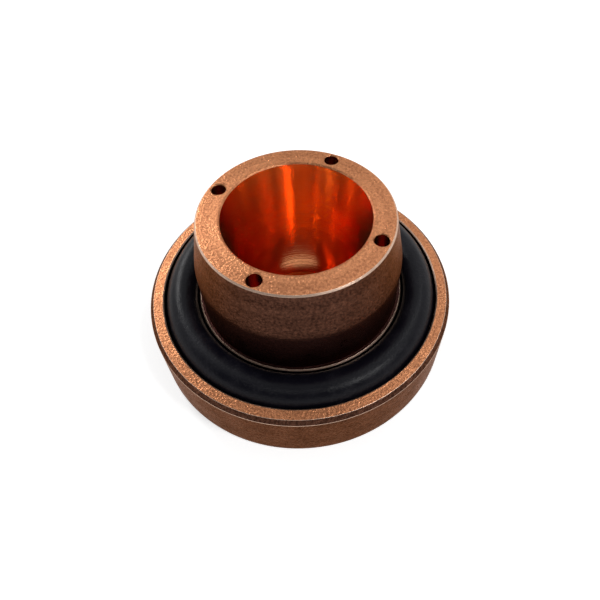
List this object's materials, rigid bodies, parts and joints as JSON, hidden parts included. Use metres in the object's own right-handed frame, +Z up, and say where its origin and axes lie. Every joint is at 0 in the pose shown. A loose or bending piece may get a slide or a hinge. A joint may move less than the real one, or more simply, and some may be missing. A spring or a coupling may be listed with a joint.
{
  "type": "plasma torch nozzle",
  "caption": "Turned copper plasma torch nozzle: tapered collar with drilled feed holes, conical bore to a small orifice, and a flange with a rubber O-ring in its face groove.",
  "frame": {"origin": "centre of the flange's flat face, where the orifice comes out", "axes": "+Z up the axis of the bore, from the flat face to the wide mouth; two of the feed holes lie on the X axis and two on the Y axis"},
  "size_m": [0.04, 0.04, 0.0206],
  "materials": {
    "copper": "bare copper, fine turned, bright on the faces and darker on the sides",
    "black_rubber": "satin black rubber with a little dust"
  },
  "bodies": {
    "root": {"nozzle_body": "copper", "o_ring": "black_rubber"}
  },
  "joints": []
}
